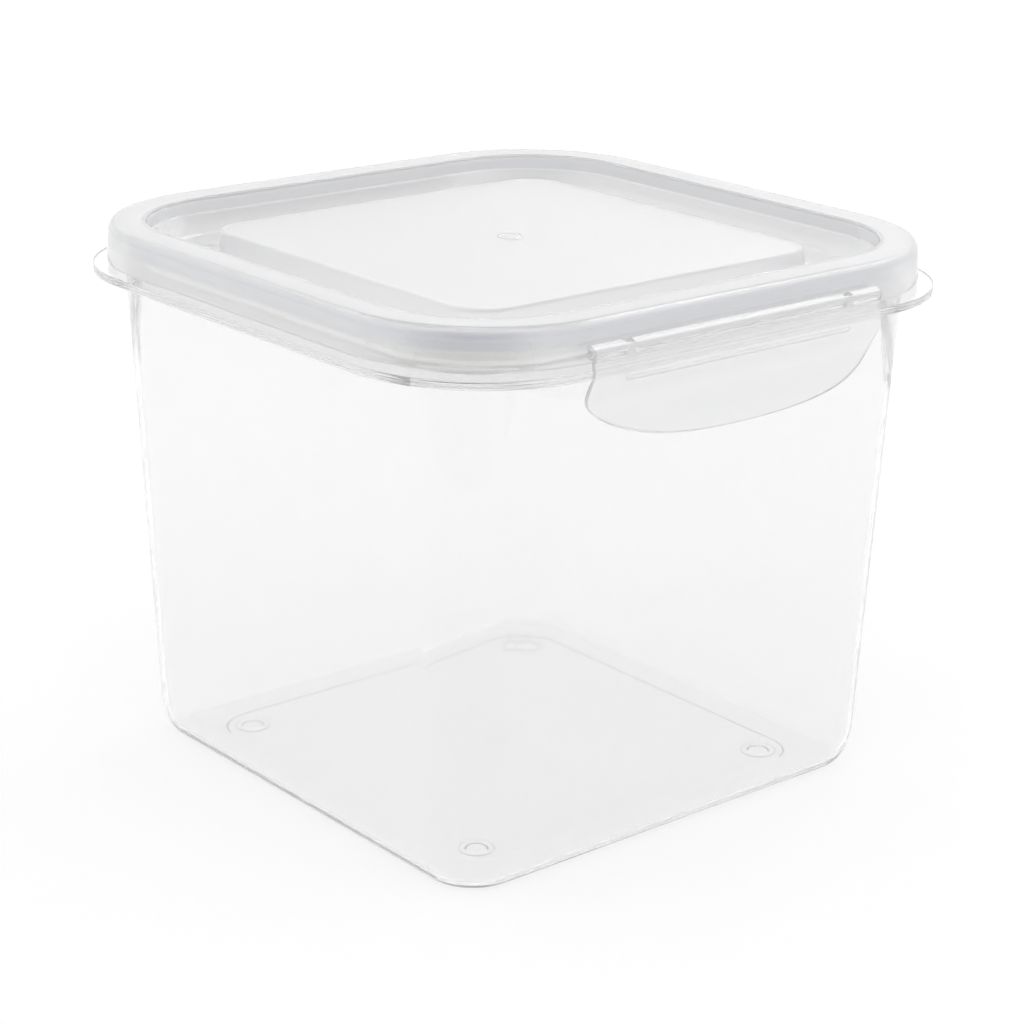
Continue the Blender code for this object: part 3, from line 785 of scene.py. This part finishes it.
def plastic(name, colour, roughness, transmission, shade, coat=0.0, bump=0.003, matt=None, tint=None):
    """A moulded see-through plastic whose gloss and surface waver a little, as they do off a steel mould.
    Light passes straight through it, tinted by the shade. A matt middle is its half-width and its roughness,
    and a tint is a function that changes the colour from place to place, as the lid's painted shade does."""
    spread, matt_edge = 0.02, 0.003
    material = bpy.data.materials.new(name)
    tree = shader_tree(material)
    place = tree.node("ShaderNodeTexCoord", output="Object")
    wave = tree.node("ShaderNodeTexNoise", {}, place, Scale=35.0, Detail=2.0, Roughness=0.5)
    fine = tree.node("ShaderNodeTexNoise", {}, place, Scale=400.0, Detail=2.0, Roughness=0.6)
    normal = tree.node("ShaderNodeBump", {}, Strength=bump, Distance=0.001, Height=wave)
    gloss = roughness + (fine - 0.5) * spread
    if matt:
        half, matt_roughness = matt
        x, y = from_middle(tree, place)
        reach = x.math("MAXIMUM", y)
        gloss = gloss + tree.mapped(reach, half, half + matt_edge, matt_roughness - roughness, 0.0)
    # the lid's painted shade goes into its colour here
    if tint:
        colour = tint(tree, place, colour)
    shader = tree.node(
        "ShaderNodeBsdfPrincipled",
        {},
        Base_Color=colour,
        Roughness=gloss,
        IOR=1.49,
        Transmission_Weight=transmission,
        Coat_Weight=coat,
        Coat_Roughness=0.06,
        Normal=normal,
    )
    tree.node("ShaderNodeOutputMaterial", {}, tree.lets_light_through(shader, shade))
    return material


def rubber(name, colour):
    """A matt silicone, a little see-through, with a fine grain."""
    material = bpy.data.materials.new(name)
    tree = shader_tree(material)
    place = tree.node("ShaderNodeTexCoord", output="Object")
    fine = tree.node("ShaderNodeTexNoise", {}, place, Scale=900.0, Detail=3.0, Roughness=0.6)
    normal = tree.node("ShaderNodeBump", {}, Strength=0.03, Distance=0.0002, Height=fine)
    shader = tree.node(
        "ShaderNodeBsdfPrincipled",
        {},
        Base_Color=colour,
        Roughness=0.45 + fine * 0.1,
        Transmission_Weight=0.2,
        Normal=normal,
    )
    tree.node("ShaderNodeOutputMaterial", {}, tree.lets_light_through(shader, (0.95, 0.95, 0.94)))
    return material


# Pieces


class CONTAINER_OT_tub(bpy.types.Operator):
    """Builds the clear tub with its flange and rim, and the feet under its floor"""

    bl_idname = "container.tub"
    bl_label = "Tub"

    def execute(self, context):
        s = context.scene.tub_sizes
        tub = new_object("tub_shell", TubShape(s).rings())
        clear = plastic(
            "clear_polypropylene",
            tuple(context.scene.finishes.clear),
            roughness=0.05,
            transmission=0.86,
            shade=(0.945, 0.945, 0.945),
            bump=0.0005,
        )
        inside = s.panel_recess + s.floor / 2
        feet = disc("feet", s.foot_radius, 0, inside)
        grid_of_feet(feet, s.foot_spacing, clear)
        join(tub, feet, disc("gate", GATE_RADIUS, TUB_GATE_BOTTOM, inside))
        finished(tub, clear, "tub", "tub")
        return {"FINISHED"}


def grid_of_feet(foot, spacing, material):
    """Repeats a foot at the corners of a square."""
    tree = ShapeTree("feet", Spacing="Float", Count="Int")
    sockets = {"Size": tree.given["Spacing"], "Vertices": tree.given["Count"]}
    both = {f"{name}_{axis}": value for name, value in sockets.items() for axis in "XY"}
    grid = tree.node("GeometryNodeMeshGrid", {}, **both)
    shape = tree.node("GeometryNodeInstanceOnPoints", {}, Points=grid, Instance=tree.given["Geometry"])
    tree.make(foot, shape, Spacing=spacing, Count=2, Material=material)


def circle(radius, sides):
    """Points round a circle."""
    return [arc(0, radius, 2 * math.pi * i / sides) for i in range(sides)]


def disc(name, radius, low, high):
    """An upright cylinder in the middle, with a rounded edge and a dimple at its low end."""
    soft = (high - low) * 0.25
    dimple = [(radius * 0.45, low + soft, 0), (radius * 0.55, low + soft, soft / 2), (radius * 0.65, low, soft / 2)]
    outline = softened(dimple + [(radius, low, soft), (radius, high, 0)], steps=4)
    return new_object(name, [[(x, y, height) for x, y in circle(reach, 48)] for reach, height in outline])


def lug(s, axis, name, side, end):
    """A lug that stands out from the skirt. The side is -1 at the front, the end -1 on the left."""
    root = s.half - (s.wall + s.draft) / 2
    tip, half = abs(axis.y), s.lug_height / 2
    corners = ((root, 1), (tip, 1), (tip, -1), (root, -1))
    rows = []
    for reach in (s.lug_inside, s.lug_inside + s.lug_thickness):
        x = axis.x + end * reach
        rows.append([(x, side * out, axis.z + up * half) for out, up in corners])
    return new_object(name, rows)


def rod(s, axis, name):
    """The rod that the lugs carry."""
    ends = (axis.x - s.rod_reach, axis.x + s.rod_reach)
    return new_object(name, [[(x, axis.y + y, axis.z + z) for y, z in circle(s.rod_radius, 32)] for x in ends])


class CONTAINER_OT_lid(bpy.types.Operator):
    """Builds the milky lid with its trough, plateau, lugs and rods"""

    bl_idname = "container.lid"
    bl_label = "Lid"

    def execute(self, context):
        s = context.scene.lid_sizes
        lid = new_object("lid_shell", [square(half, radius, height) for half, height, radius in lid_outline(s)])
        additions = []
        for latch, side in SIDES.items():
            axis = AXES[latch]
            for end in (-1, 1):
                additions.append(lug(s, axis, f"lug_{side}_{end}", side, end))
            additions.append(rod(s, axis, f"rod_{side}"))
        gate_top, inside = s.plateau_top + LID_GATE_HEIGHT, s.plateau_top - s.wall / 2
        additions.append(disc("lid_gate", GATE_RADIUS, gate_top, inside))
        join(lid, *additions)
        milky = plastic(
            "milky_polypropylene",
            tuple(context.scene.finishes.milky),
            roughness=0.14,
            transmission=0.72,
            shade=(0.97, 0.97, 0.975),
            coat=0.5,
            matt=(0.066, 0.34),
            # paints shade on the skirt's shoulder and below it, darkest at the corners
            tint=skirt_painted_shade,
        )
        finished(lid, milky, "lid", "lid")
        return {"FINISHED"}


class CONTAINER_OT_seal(bpy.types.Operator):
    """Builds the soft seal under the lid's rim"""

    bl_idname = "container.seal"
    bl_label = "Seal"

    def execute(self, context):
        s = context.scene.seal_sizes
        reach = s.width / 2
        lip = s.bottom - s.lip
        top_edge, lip_edge, groove_edge = 0.0006, 0.0003, 0.0002
        half = [
            (reach, s.top, top_edge),
            (reach, lip, lip_edge),
            (s.groove, lip, groove_edge),
            (s.groove, s.bottom, groove_edge),
        ]
        outline = half + [(-out, height, rounding) for out, height, rounding in reversed(half)]
        material = rubber("silicone", tuple(context.scene.finishes.silicone))
        seal = section("lid_seal_ring", [(out, -z) for out, z in softened(outline, closed=True)])
        tree = ShapeTree("seal", Half="Float", Radius="Float", Steps="Int")
        width = tree.given["Half"] * 2.0
        path = tree.node("GeometryNodeCurvePrimitiveQuadrilateral", {}, Width=width, Height=width)
        rounding = {"Radius": tree.given["Radius"], "Count": tree.given["Steps"]}
        path = tree.node("GeometryNodeFilletCurve", {"mode": "POLY"}, Curve=path, Limit_Radius=True, **rounding)
        path = tree.node("GeometryNodeSetCurveNormal", {"mode": "Z_UP"}, Curve=path)
        profile = tree.node("GeometryNodeMeshToCurve", {}, tree.given["Geometry"])
        shape = tree.node("GeometryNodeCurveToMesh", {}, Curve=path, Profile_Curve=profile)
        tree.make(seal, shape, Half=s.middle, Radius=s.radius, Steps=28, Material=material)
        face_outwards(seal)
        finished(seal, material, "lid", "lid_seal", sharp=40)
        return {"FINISHED"}


class CONTAINER_OT_latches(bpy.types.Operator):
    """Builds the front and the rear latch"""

    bl_idname = "container.latches"
    bl_label = "Latches"

    def execute(self, context):
        frosted = plastic(
            "frosted_polypropylene",
            tuple(context.scene.finishes.frosted),
            roughness=0.22,
            transmission=0.8,
            shade=(0.975, 0.975, 0.98),
            coat=0.15,
        )
        for name in SIDES:
            latch = LatchShape(context.scene.latch_sizes, name).moulding()
            finished(latch, frosted, name, name, sharp=30)
        return {"FINISHED"}


class CONTAINER_OT_studio(bpy.types.Operator):
    """Sets up the floor, the light and the camera"""

    bl_idname = "container.studio"
    bl_label = "Studio"

    def execute(self, context):
        s = context.scene.studio
        self.camera(context, s)
        self.floor(context, s.glow)
        self.world(context, s)
        self.softbox(context, s)
        context.scene.view_settings.view_transform = "Standard"
        return {"FINISHED"}

    def camera(self, context, s):
        back = Vector(
            (
                math.sin(s.azimuth) * math.cos(s.elevation),
                -math.cos(s.azimuth) * math.cos(s.elevation),
                math.sin(s.elevation),
            )
        )
        right = Vector((math.cos(s.azimuth), math.sin(s.azimuth), 0))
        up = back.cross(right)
        c, n = math.cos(s.roll), math.sin(s.roll)
        rolled_right = right * c + up * n
        rolled_up = up * c - right * n
        data = bpy.data.cameras.new("camera")
        data.sensor_width = 36
        data.lens = s.lens
        camera = bpy.data.objects.new("camera", data)
        turn = Matrix((rolled_right, rolled_up, back)).transposed().to_4x4()
        camera.matrix_world = Matrix.Translation(s.eye) @ turn
        context.scene.collection.objects.link(camera)
        context.scene.camera = camera

    def floor(self, context, glow_strength):
        """A white floor that glows a little where it is seen, and not where it lights other things."""
        bm = bmesh.new()
        bmesh.ops.create_circle(bm, cap_ends=True, segments=64, radius=FLOOR_RADIUS)
        mesh = bpy.data.meshes.new("floor")
        bm.to_mesh(mesh)
        bm.free()
        mesh.transform(Matrix.Translation((0, 0, -FLOOR_DROP)))
        floor = bpy.data.objects.new("floor", mesh)
        context.scene.collection.objects.link(floor)
        material = bpy.data.materials.new("studio_floor")
        tree = shader_tree(material)
        tone = tuple(context.scene.finishes.floor)
        shader = tree.node("ShaderNodeBsdfDiffuse", {}, Color=tone, Roughness=0.6)
        seen = tree.ray("Camera") + tree.ray("Glossy") + tree.ray("Transmission")
        glow = tree.node("ShaderNodeEmission", {}, (1, 1, 1), seen * glow_strength)
        tree.node("ShaderNodeOutputMaterial", {}, tree.node("ShaderNodeAddShader", {}, shader, glow))
        mesh.materials.append(material)

    def world(self, context, s):
        """A white backdrop for the camera, and a room for the plastics: its tone goes by height and by how
        nearly a direction faces the camera."""
        world = bpy.data.worlds.new("studio")
        context.scene.world = world
        tree = shader_tree(world)
        direction = tree.node("ShaderNodeTexCoord", output="Generated")
        height = tree.part(direction, "Z")
        stops = [(0.0, 1.0), (0.30, 1.0), (0.45, float(s.ceiling)), (0.85, float(s.ceiling)), (0.95, 1.0)]
        tone = tree.node("ShaderNodeValToRGB", {"stops": stops}, height)
        camera = tuple(Vector(s.eye).normalized())
        dot = {"operation": "DOT_PRODUCT"}
        facing = tree.node("ShaderNodeVectorMath", dot, direction, camera, output="Value")
        beside = float(s.beside)
        stops = [(0.03, 1.0), (0.08, beside), (0.90, beside), (0.965, float(s.behind))]
        room = tree.node("ShaderNodeValToRGB", {"stops": stops}, (facing + 1.0) * 0.5)
        seen = tree.ray("Camera")
        lit = tree.node("ShaderNodeBackground", {}, tone, room * s.surround)
        white = tree.node("ShaderNodeBackground", {}, (1, 1, 1), 1.0)
        mixed = tree.node("ShaderNodeMixShader", {}, seen, lit, white)
        tree.node("ShaderNodeOutputWorld", {}, mixed)

    def softbox(self, context, s):
        data = bpy.data.lights.new("softbox", "AREA")
        data.shape = "RECTANGLE"
        data.size, data.size_y = SOFTBOX_SIZE
        data.energy = s.softbox
        lamp = bpy.data.objects.new("softbox", data)
        lamp.location = SOFTBOX_PLACE
        lamp.rotation_mode = "QUATERNION"
        lamp.rotation_quaternion = Vector(lamp.location).to_track_quat("Z", "Y")
        context.scene.collection.objects.link(lamp)


class CONTAINER_PT_panel(bpy.types.Panel):
    """Lists the pieces and the stage"""

    bl_label = "Freezer container"
    bl_space_type = "VIEW_3D"
    bl_region_type = "UI"
    bl_category = "Container"

    def draw(self, context):
        for operator in OPERATORS:
            self.layout.operator(operator.bl_idname)


GROUPS = {
    "tub_sizes": TubSizes,
    "lid_sizes": LidSizes,
    "seal_sizes": SealSizes,
    "latch_sizes": LatchSizes,
    "finishes": Finishes,
    "studio": StudioSettings,
}
OPERATORS = (
    CONTAINER_OT_studio,
    CONTAINER_OT_tub,
    CONTAINER_OT_lid,
    CONTAINER_OT_seal,
    CONTAINER_OT_latches,
)


def register():
    for name, group in GROUPS.items():
        bpy.utils.register_class(group)
        setattr(bpy.types.Scene, name, PointerProperty(type=group))
    for operator in OPERATORS:
        bpy.utils.register_class(operator)
    bpy.utils.register_class(CONTAINER_PT_panel)


def unregister():
    bpy.utils.unregister_class(CONTAINER_PT_panel)
    for operator in reversed(OPERATORS):
        bpy.utils.unregister_class(operator)
    for name, group in reversed(GROUPS.items()):
        delattr(bpy.types.Scene, name)
        bpy.utils.unregister_class(group)


def main():
    """Registers the classes and builds the studio and every piece."""
    register()
    bpy.ops.container.studio()
    bpy.ops.container.tub()
    bpy.ops.container.lid()
    bpy.ops.container.seal()
    bpy.ops.container.latches()


if __name__ == "__main__":
    main()
